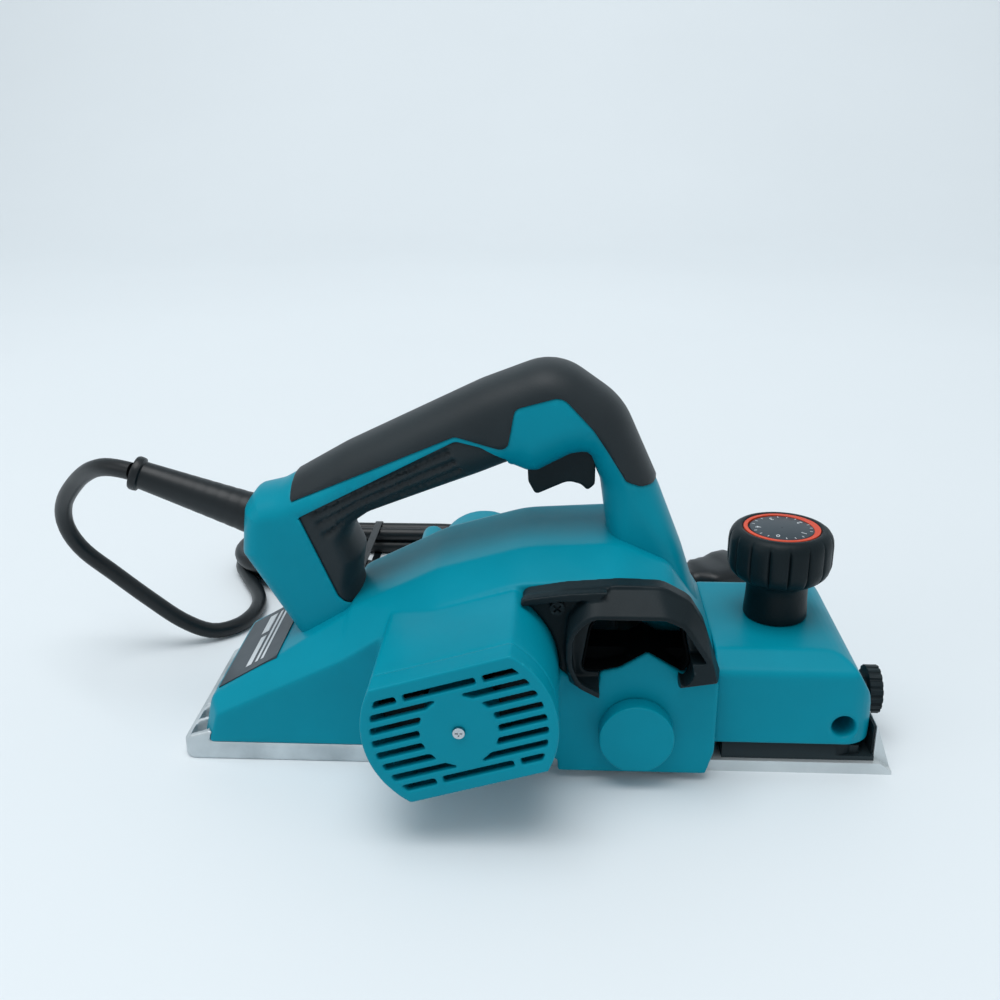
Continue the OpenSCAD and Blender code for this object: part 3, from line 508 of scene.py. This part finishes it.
HANDLE_HALF = 18.5
HANDLE_OUTER = [(-92, 30), (-121, 79, 3), (-119, 98, 4), (-114, 104.5, 3), (-104, 107, 10),
                (-77, 122.5, 60), (-22, 149, 60), (8, 160.5, 22), (34, 142, 30), (50, 107, 40),
                (60, 82, 30), (69, 55), (69, 40)]
HANDLE_INNER = [(-66, 40), (-71, 66, 5), (-69, 78, 6), (-74, 89, 4), (-66, 94.5, 6),
                (-22, 111, 8), (-10, 116, 3), (-4, 113.5, 2), (1, 113.5, 3), (14, 120.5, 3),
                (20, 121.5, 2), (25, 110, 8), (28, 90, 6), (30, 60)]
OVERMOULD = [(-99, 130), (-97, 103.5), (-31, 131.5, 4), (-11, 125.5, 3), (-8, 142.5, 3),
             (10, 147.5, 6), (22, 134.5, 10), (35, 114, 4), (41, 111.5, 2), (62, 110.5),
             (62, 170), (-99, 170)]
FINGER = [(-94, 97, 1), (-31, 129.5, 3), (-21, 127), (-11, 120.5), (-9, 105), (-55, 80),
          (-60, 55), (-77, 60.5), (-80, 63)]


def distance_to(lines, pts):
    """Shortest distance from each point to any of the polylines."""
    best = np.full(len(pts), 1e9)
    for line in lines:
        a, b = line[:-1], line[1:]
        d = b - a
        length2 = (d ** 2).sum(1)
        for i in range(0, len(pts), 2000):
            p = pts[i:i + 2000, None, :]
            t = np.clip(((p - a) * d).sum(2) / length2, 0, 1)
            gap = np.linalg.norm(p - (a + t[..., None] * d), axis=2).min(1)
            best[i:i + 2000] = np.minimum(best[i:i + 2000], gap)
    return best


def inside(loop, pts):
    """Whether each point is in the closed outline."""
    x, y = pts[:, 0], pts[:, 1]
    hit = np.zeros(len(pts), bool)
    for (x0, y0), (x1, y1) in zip(loop, np.roll(loop, -1, axis=0)):
        cross = (y0 > y) != (y1 > y)
        with np.errstate(divide="ignore", invalid="ignore"):
            hit ^= cross & (x < (x1 - x0) * (y - y0) / (y1 - y0) + x0)
    return hit


OUTER_PATH = resample(rounded(HANDLE_OUTER), 1.6)
INNER_PATH = resample(rounded(HANDLE_INNER), 1.4)
HANDLE_PATHS = [OUTER_PATH, INNER_PATH]
HANDLE_LOOP = np.vstack([OUTER_PATH, INNER_PATH[::-1]])
# Depths in from the outline at which the surface gets a row of points
ROW_DEPTHS = (0.12, 0.45, 1.0, 1.9, 3.1, 4.6, 6.4, 8.6, 11.2, 14.0)
ROUNDNESS = 2.4


def edge_radius(pts):
    """How far the rounding reaches in from the handle's outline: wider on the grip."""
    return 9 + 5.5 * smoothstep((pts[:, 1] - 88) / 22)


def handle_profile(pts, d):
    """Half width of the handle where the outline is d away."""
    reach = edge_radius(pts)
    t = np.clip(d / reach, 0, 1)
    return HANDLE_HALF * (1 - (1 - t) ** ROUNDNESS) ** (1 / ROUNDNESS) - 0.5 * (1 - t)


def surface_points(borders, spacing, grid_from):
    """Points inside the handle's outline: rows along the outline, a grid in the middle from
    grid_from in, and a row on each side of the borders."""
    extra = []
    for depth in ROW_DEPTHS:
        for path in HANDLE_PATHS:
            for sign in (-1, 1):
                q = path + sign * normals_of(path) * depth
                q = q[inside(HANDLE_LOOP, q)]
                extra.append(q[distance_to(HANDLE_PATHS, q) > depth * 0.9])
    low, high = HANDLE_LOOP.min(0), HANDLE_LOOP.max(0)
    gx, gy = np.meshgrid(np.arange(low[0], high[0], spacing), np.arange(low[1], high[1], spacing))
    gx = gx + (np.arange(gx.shape[0]) % 2)[:, None] * spacing / 2
    grid = np.stack([gx.ravel(), gy.ravel()], 1)
    grid = grid[inside(HANDLE_LOOP, grid)]
    extra.append(grid[distance_to(HANDLE_PATHS, grid) > grid_from])
    extra = np.vstack(extra)
    lines = [np.vstack([b, b[:1]]) for b in borders]
    extra = extra[distance_to(lines, extra) > 0.8]
    for line in lines:
        for sign in (-1, 1):
            q = line + sign * normals_of(line) * 0.55
            q = q[inside(HANDLE_LOOP, q)]
            q = q[distance_to(lines, q) > 0.5]
            extra = np.vstack([extra, q[distance_to(HANDLE_PATHS, q) > 0.1]])
    return extra


def flat_surface(outlines, chosen, spacing, grid_from):
    """Triangles that fill the chosen part of the handle's outline, as (points, triangles)."""
    borders = [resample(b, 1.5, True) for b in outlines]
    verts, edges = [], []
    for loop in [HANDLE_LOOP] + borders:
        base, n = len(verts), len(loop)
        verts += [tuple(p) for p in loop]
        edges += [(base + i, base + (i + 1) % n) for i in range(n)]
    extra = surface_points(borders, spacing, grid_from)
    verts += [tuple(p) for p in extra[chosen(extra)]]
    out, _, tris, *_ = delaunay_2d_cdt([Vector(v) for v in verts], edges, [], 0, 1e-4)
    flat = np.array([(v.x, v.y) for v in out])
    tris = np.array([t for t in tris if len(t) == 3])
    centre = flat[tris].mean(1)
    tris = tris[inside(HANDLE_LOOP, centre) & chosen(centre)]
    used = np.unique(tris)
    index = -np.ones(len(flat), int)
    index[used] = np.arange(len(used))
    return flat[used], index[tris]


def open_edges(tris, rim):
    """Edges of one triangle only, apart from those on the handle's rim."""
    uses = {}
    for t in tris:
        for a, b in ((t[0], t[1]), (t[1], t[2]), (t[2], t[0])):
            uses.setdefault((min(a, b), max(a, b)), []).append((a, b))
    return [found[0] for key, found in uses.items()
            if len(found) == 1 and not (rim[key[0]] and rim[key[1]])]


def depth_at(pts):
    """Distance in from the handle's outline, negative outside it."""
    return distance_to(HANDLE_PATHS, pts) * np.where(inside(HANDLE_LOOP, pts), 1, -1)


def handle_skin(name, outlines, chosen, lift, wall, look, replaced, spacing=3.4,
                grid_from=12.5, relief=None):
    """Both sides of the handle's surface where chosen(points) holds, raised by lift, with side
    walls down its borders. outlines are the closed borders that it runs along."""
    flat, tris = flat_surface(outlines, chosen, spacing, grid_from)
    d = distance_to(HANDLE_PATHS, flat)
    rim = d < 1e-3
    step = 0.05
    gradient = np.stack([(depth_at(flat + s) - depth_at(flat - s)) / (2 * step)
                         for s in (np.array([step, 0]), np.array([0, step]))], 1)
    half = handle_profile(flat, d)
    slope = (handle_profile(flat, d + step) - half) / step
    n3 = np.stack([-slope * gradient[:, 0], np.ones(len(flat)), -slope * gradient[:, 1]], 1)
    n3[rim, 1] = 0
    n3 /= np.linalg.norm(n3, axis=1)[:, None]
    border_edges = open_edges(tris, rim)
    on_border = np.zeros(len(flat), bool)
    for a, b in border_edges:
        on_border[[a, b]] = True
    raise_by = np.full(len(flat), float(lift))
    if relief is not None:
        raise_by += relief(flat) * smoothstep((d - 1.5) / 3)
    raise_by[on_border] -= 0.3
    points, faces = [], []
    for side in (-1, 1):
        base = len(points)
        here = np.stack([flat[:, 0], half * side, flat[:, 1]], 1)
        here[rim, 1] = 0
        direction = n3 * np.array([1, side, 1])
        top = here + direction * raise_by[:, None]
        points += [tuple(p) for p in top]
        faces += [tuple(int(base + i) for i in (t if side < 0 else t[::-1])) for t in tris]
        foot = {}
        for a, b in border_edges:
            for v in (a, b):
                if v not in foot:
                    foot[v] = len(points)
                    points.append(tuple(top[v] - direction[v] * wall))
            quad = (base + b, base + a, foot[a], foot[b])
            faces.append(tuple(int(i) for i in (quad if side < 0 else quad[::-1])))
    return add_piece(name, points, faces, look, "body", 42, replaced)


OVER_LOOP = rounded(OVERMOULD)
FINGER_LOOP = rounded(FINGER)
RIB_FROM = np.array([-88.0, 93.0])
RIB_TO = np.array([-30.0, 121.0])
RIB_PITCH = 5.2


def ribs(pts):
    """Lengthwise ribs of the finger grip, in a flat panel behind its front end."""
    along = unit(RIB_TO - RIB_FROM)
    across = np.array([-along[1], along[0]])
    u = (pts - RIB_FROM) @ along
    v = (pts - RIB_FROM) @ across
    length = np.linalg.norm(RIB_TO - RIB_FROM)
    window = smoothstep(u / 3) * smoothstep((length - u) / 1.5) * smoothstep((v + 8) / 1.5)
    window *= smoothstep((9 - v) / 2)
    groove = 0.5 + 0.5 * np.cos(2 * math.pi * v / RIB_PITCH)
    return -window * (0.5 + 1.3 * smoothstep(groove * 1.6 - 0.5))


def in_overmould(pts):
    return inside(OVER_LOOP, pts)


def in_finger_grip(pts):
    return inside(FINGER_LOOP, pts)


def in_shells(pts):
    return ~in_overmould(pts) & ~in_finger_grip(pts)


handle_skin("handle_teal_shells", [OVER_LOOP, FINGER_LOOP], in_shells, -0.6, 2.6, TEAL,
            ["handle_near", "handle_far"])
handle_skin("grip_overmould", [OVER_LOOP], in_overmould, 0.15, 1.4, GRIP,
            ["handle_overmould"])
handle_skin("finger_grip_ribbed", [FINGER_LOOP], in_finger_grip, -1.7, 1.0, GRIP,
            ["finger_grip"], spacing=1.15, grid_from=2.5, relief=ribs)

# ---- depth knob -------------------------------------------------------------------------

KNOB_X = 100.0
KNOB_R = 21.0
KNOB_TOP = 89.0
PANELS = 16
FACE_Z = 88.0
DIAL_Z = 88.75
RING_OUT = 15.35
DIGIT_R = 9.8
TICK_R = (11.0, 12.2)
TICK_HALF = 0.16
FIRST_MARK = -110


def knob_shape(a, r, z):
    """Flat panels with narrow grooves between them, fading out above and below the grip."""
    fade = float(smoothstep((z - 68.5) / 4) * smoothstep((KNOB_TOP - 1.2 - z) / 4))
    if r < 15 or fade <= 0:
        return r
    step = 2 * math.pi / PANELS
    off = abs((a / step) % 1 - 0.5)          # 0.5 at a groove, 0 in the middle of a panel
    groove = max(0, 1 - (0.5 - off) / 0.085)
    dip = 1.25 * (groove * groove * (3 - 2 * groove))
    crown = 0.35 * (1 - (2 * off) ** 2)
    return r - fade * (dip + 0.3 - crown)


def add_knob():
    """Grip with a sunk face on top and a neck below."""
    profile = [(0.5, FACE_Z), (15.2, FACE_Z), (15.5, 88.05), (15.7, 88.6), (16.1, 88.95),
               (17.0, KNOB_TOP), (18.2, 88.6), (19.3, 87.8), (20.2, 86.6), (20.75, 85.0),
               (20.95, 83.0)]
    profile += [(KNOB_R, z) for z in np.linspace(82, 75, 9)]
    profile += [(20.9, 74), (20.4, 72.2), (19.5, 70.6), (18.2, 69.2), (16.4, 67.9), (14.4, 66.9),
                (13.0, 66.0), (12.6, 65.0), (12.5, 62.0), (12.6, 58.0), (12.9, 54.0),
                (13.0, 51.2), (12.7, 50.5), (12.2, 50.3), (4.2, 50.3)]
    points, faces = lathe(profile, PANELS * 14, knob_shape)
    return add_piece("depth_knob_grip", on_knob(points), faces, BLACK, "knob",
                     60, ["depth_knob"])


def ring_shape(a, r, z):
    """Inner edge of the ring, which widens like a wedge towards one side."""
    return r if r > 14.5 else r - 1.3 * max(0.0, math.cos(a - 0.35)) ** 2


def on_knob(points):
    return [(KNOB_X + x, y, z) for x, y, z in points]


def add_dial():
    """Dark dial face with an orange ring round it."""
    inner, top = 13.7, DIAL_Z + 0.2
    face, faces = lathe([(0.3, DIAL_Z), (12.6, DIAL_Z), (12.9, DIAL_Z - 0.1), (12.9, FACE_Z)], 96)
    add_piece("dial_face", on_knob(face), faces, PLATE, "knob", 40, ["knob_dial"])
    profile = [(inner, FACE_Z), (inner, top - 0.12), (inner + 0.12, top),
               (RING_OUT - 0.12, top), (RING_OUT, top - 0.12), (RING_OUT, FACE_Z)]
    points, faces = lathe(profile, 120, ring_shape)
    add_piece("dial_ring", on_knob(points), faces, ORANGE, "knob", 40)


def add_dial_marks():
    """Generic digits and ticks round the dial face."""
    digits = []
    for k, label in enumerate(("0", "1", "2", "3", "4")):
        a = math.radians(FIRST_MARK + 72 * k)
        data = bpy.data.curves.new("digit", "FONT")
        data.body = label
        data.size = 3.4 * MM
        data.align_x = data.align_y = "CENTER"
        data.extrude = 0.06 * MM
        obj = bpy.data.objects.new("digit", data)
        scene.collection.objects.link(obj)
        at = Vector((KNOB_X + DIGIT_R * math.cos(a), DIGIT_R * math.sin(a), DIAL_Z + 0.07))
        obj.matrix_world = Matrix.Translation(at * MM) @ Matrix.Rotation(a + math.pi / 2, 4, "Z")
        digits.append(obj)
    bpy.context.view_layer.update()
    points, faces = [], []
    graph = bpy.context.evaluated_depsgraph_get()
    for obj in digits:
        mesh = obj.evaluated_get(graph).to_mesh()
        base = len(points)
        points += [tuple(obj.matrix_world @ v.co / MM) for v in mesh.vertices]
        faces += [tuple(base + i for i in p.vertices) for p in mesh.polygons]
    for obj in digits:
        data = obj.data
        bpy.data.objects.remove(obj)
        bpy.data.curves.remove(data)
    (r0, r1), w0 = TICK_R, TICK_HALF
    for k in range(20):
        if k % 4 == 0:
            continue                         # a digit stands here
        a = math.radians(FIRST_MARK + 18 * k)
        c, s = math.cos(a), math.sin(a)
        base = len(points)
        for z in (DIAL_Z + 0.01, DIAL_Z + 0.09):
            for r, w in ((r0, -w0), (r1, -w0), (r1, w0), (r0, w0)):
                points.append((KNOB_X + r * c - w * s, r * s + w * c, z))
        faces += [tuple(base + i for i in f) for f in
                  ((0, 1, 2, 3), (4, 7, 6, 5), (0, 4, 5, 1), (1, 5, 6, 2), (2, 6, 7, 3),
                   (3, 7, 4, 0))]
    return add_piece("dial_marks", points, faces, PALE, "knob", 30)


add_knob()
add_dial()
add_dial_marks()

# ---- chute duct, painted shade ----------------------------------------------------------

# Outline of the duct in the housing's near wall, as (x, z) or (x, z, radius)
DUCT = [(18.4, 48.6), (25.5, 48.4), (33, 50.4), (43.2, 57), (56.8, 48.8), (59.4, 52.4, 4),
        (54.6, 73.5, 8), (22.2, 73.5, 10)]
DUCT_FLOOR = 52.8


def add_chute_painted_shade():
    """Near-black sleeve through the housing's near wall: painted shade for the dark inside the
    chip duct. Deeper in, its floor steps up over the drum arch and covers it with the painted
    shade."""
    outer = resample(rounded(DUCT), 1.2, True)
    centre = outer.mean(0)
    inner = centre + (outer - centre) * 0.965
    # Station along the duct: y, and the height that its floor doesn't go below
    stations = [(-48.2, 0), (-39.4, 0), (-38.2, DUCT_FLOOR), (-24.0, DUCT_FLOOR)]
    rings = [(outer, y, low) for y, low in stations]
    rings += [(inner, y, low + 0.6) for y, low in reversed(stations)]
    points = []
    for ring, y, low in rings:
        points += [(x, y, max(z, low)) for x, z in ring]
    return add_piece("chute_painted_shade", points, ring_faces(len(rings), len(outer), True), DUCT_SHADE,
                     "body", 40)


add_chute_painted_shade()

# ---- skirt corners ----------------------------------------------------------------------

CORNER_X = (124.0, 130.4)
CORNER_Y = (30.0, 36.4)
CORNER_Z = (5.0, 10.3)


def add_skirt_corners():
    """Black caps over the front corners of the sole's block, behind the skirt's ends."""
    points, faces = [], []
    (x0, x1), (y0, y1), (z0, z1) = CORNER_X, CORNER_Y, CORNER_Z
    for side in (-1, 1):
        plan = rounded([(x0, y0), (x1, y0), (x1, y1, 1.2), (x0, y1)], 6)
        n, base = len(plan), len(points)
        rim = plan.mean(0) + (plan - plan.mean(0)) * 0.94
        for ring, z in ((plan, z0), (plan, z1 - 0.3), (rim, z1)):
            points += [(x, side * y, z) for x, y in ring]
        faces += [tuple(base + i for i in f) for f in ring_faces(3, n) + cap_faces(3, n)]
    return add_piece("skirt_corner_caps", points, faces, BLACK, "front_sole", 40)


add_skirt_corners()

# ---- depth spring -----------------------------------------------------------------------

SPRING_R = 9.7
SPRING_WIRE = 0.8
SPRING_Z = (11.0, 39.0)
SPRING_TURNS = 6


def add_spring():
    """Coil spring round the depth knob's axis, with closed ends."""
    low, high = SPRING_Z
    steps, sides = SPRING_TURNS * 36, 8
    points = []
    for i in range(steps + 1):
        a = 2 * math.pi * SPRING_TURNS * i / steps
        # Closed ends: the first and last turn rise less than the others
        t = float(np.interp(i / steps, (0, 0.12, 0.88, 1), (0, 0.04, 0.96, 1)))
        z = low + (high - low) * t
        for k in range(sides):
            b = 2 * math.pi * k / sides
            r = SPRING_R + SPRING_WIRE * math.cos(b)
            points.append((KNOB_X + r * math.cos(a), r * math.sin(a),
                           z + SPRING_WIRE * math.sin(b)))
    faces = ring_faces(steps + 1, sides) + cap_faces(steps + 1, sides)
    spring = add_piece("depth_coil_spring", points, faces, STEEL, "body", 60,
                       ["depth_spring"])
    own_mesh(spring)


add_spring()

# ---- rating plate print -----------------------------------------------------------------


def add_plate_print():
    """Blank pale bars on the rating plate, laid on its surface."""
    plate = NODES["rating_plate"]
    bm = bmesh.new()
    bm.from_mesh(plate.data)
    tree = BVHTree.FromBMesh(bm)
    bm.free()
    low, high = (np.array(c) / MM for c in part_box("rating_plate"))
    above = 90
    points, faces = [], []
    # Field: share of the plate's length from x0 to x1, and of its width from y0 to y1
    fields = [(0.40, 0.50, 0.10, 0.55), (0.36, 0.50, 0.62, 0.92), (0.56, 0.61, 0.10, 0.92),
              (0.66, 0.71, 0.10, 0.92)]
    for x0, x1, y0, y1 in fields:
        nx, ny = 4, 14
        base = len(points)
        for i in range(nx + 1):
            for j in range(ny + 1):
                x = low[0] + (high[0] - low[0]) * (x0 + (x1 - x0) * i / nx)
                y = low[1] + (high[1] - low[1]) * (y0 + (y1 - y0) * j / ny)
                hit = tree.ray_cast(Vector((x, y, above)) * MM, Vector((0, 0, -1)))[0]
                z = hit.z / MM if hit else low[2]
                points.append((x, y, z + 0.1))
        for i in range(nx):
            for j in range(ny):
                a = base + i * (ny + 1) + j
                faces.append((a, a + ny + 1, a + ny + 2, a + 1))
    obj = add_piece("plate_fields", points, faces, PALE, "body", 30)
    solid = obj.modifiers.new("thickness", "SOLIDIFY")
    solid.thickness = 0.05 * MM
    return obj


add_plate_print()

# ---- CAD nodes that stay ----------------------------------------------------------------

# Moulded and cast nodes get soft edges: voxel size in mm and rounds of smoothing
MOULDED = {
    "main_housing": (0.8, 9), "front_housing": (0.7, 8), "motor_end_cap": (0.45, 5),
    "chip_chute": (0.5, 6), "drum_cover": (0.5, 6), "belt_cover": (0.8, 7),
    "base_casting": (0.7, 4), "trigger": (0.45, 8),
}
# Small nodes get bevelled edges, widths in mm
BEVELS = {
    "front_base": 0.5, "front_skirt": 0.3, "clamp_knob": 0.4, "lock_button": 0.6,
    "rating_plate": 0.15, "cutter_drum": 0.4, "blade_clamps": 0.3, "motor_pulley": 0.3,
    "drum_pulley": 0.3, "pulley_nut": 0.3, "end_cap_screw": 0.15, "chute_screw": 0.25,
    "belt_cover_screws": 0.4, "handle_screws": 0.3,
}
WELD_GAP = 1e-5
# Nodes whose material isn't their slot's usual one
LOOKS = {
    "base_casting": CAST, "front_base": MILLED, "cutter_drum": MILLED, "blade_clamps": MILLED,
    "brush_holders": BLACK, "chute_screw": BLACK,
}


def dress_cad_nodes():
    """Materials and edge modifiers of the CAD nodes that no piece replaces."""
    slots = {s["node"]: s["material_slot"] for s in frame["record"]["subparts"]}
    for name, obj in NODES.items():
        if obj.hide_render:
            continue
        look = LOOKS.get(name, SLOT_LOOKS[slots[name]])
        obj.data.materials.clear()
        obj.data.materials.append(look)
        if name in MOULDED:
            voxel, rounds = MOULDED[name]
            skin = obj.modifiers.new("skin", "REMESH")
            skin.mode = "VOXEL"
            skin.voxel_size = voxel * MM
            skin.use_smooth_shade = True
            soft = obj.modifiers.new("soft_edges", "SMOOTH")
            soft.factor = 0.5
            soft.iterations = rounds
        elif name in BEVELS:
            weld = obj.modifiers.new("weld", "WELD")
            weld.merge_threshold = WELD_GAP
            bevel = obj.modifiers.new("edges", "BEVEL")
            bevel.width = BEVELS[name] * MM
            bevel.segments = 2
            bevel.limit_method = "ANGLE"
            bevel.angle_limit = math.radians(30)
            bevel.harden_normals = True
            normals = obj.modifiers.new("normals", "WEIGHTED_NORMAL")
            normals.keep_sharp = True


dress_cad_nodes()

# ---- stage ------------------------------------------------------------------------------


def add_stage():
    """Pale floor, sizes in metres, that sweeps up into a backdrop behind the object."""
    floor_look = material("floor", srgb(222, 229, 233), srgb(225, 232, 236), rough=(0.5, 0.6),
                          grain=40, bump=0.02, blotch=1.5, specular=0.25)
    mesh = bpy.data.meshes.new("floor")
    reach, front, back, height, bend = 6.0, -4.0, 2.6, 4.0, 1.2
    profile = [(front, 0.0), (back - bend, 0.0)]
    for k in range(1, 13):
        a = math.pi / 2 * k / 12
        profile.append((back - bend + bend * math.sin(a), bend - bend * math.cos(a)))
    profile.append((back, height))
    points = [(x, y, z) for y, z in profile for x in (-reach, reach)]
    faces = [(2 * i, 2 * i + 1, 2 * i + 3, 2 * i + 2) for i in range(len(profile) - 1)]
    mesh.from_pydata(points, [], faces)
    mesh.shade_smooth()
    mesh.materials.append(floor_look)
    floor = bpy.data.objects.new("floor", mesh)
    scene.collection.objects.link(floor)


def add_light(name, at, towards, size, power, colour):
    """Soft rectangular light; at, towards and size in metres, power in watts."""
    data = bpy.data.lights.new(name, "AREA")
    data.shape = "RECTANGLE"
    data.size, data.size_y = size
    data.energy = power
    data.color = colour
    obj = bpy.data.objects.new(name, data)
    at, towards = Vector(at), Vector(towards)
    obj.rotation_euler = (towards - at).to_track_quat("-Z", "Y").to_euler()
    obj.location = at
    scene.collection.objects.link(obj)


add_stage()
add_light("key_above", (-0.3, -0.4, 2.4), (0, 0, 0), (1.9, 1.6), 37, (0.98, 0.99, 1.0))
add_light("fill_left", (-1.8, -0.9, 1.0), (0, 0, 0.05), (1.0, 0.8), 3, (0.97, 0.99, 1.0))
add_light("backdrop_glow", (0, 0.9, 1.8), (0, 3.2, 0.8), (2.6, 1.2), 9, (0.98, 0.99, 1.0))

world = bpy.data.worlds.new("world")
world.use_nodes = True
sky = world.node_tree.nodes["Background"]
sky.inputs["Color"].default_value = (0.93, 0.97, 1.0, 1)
sky.inputs["Strength"].default_value = 0.6
scene.world = world
scene.view_settings.view_transform = "Standard"
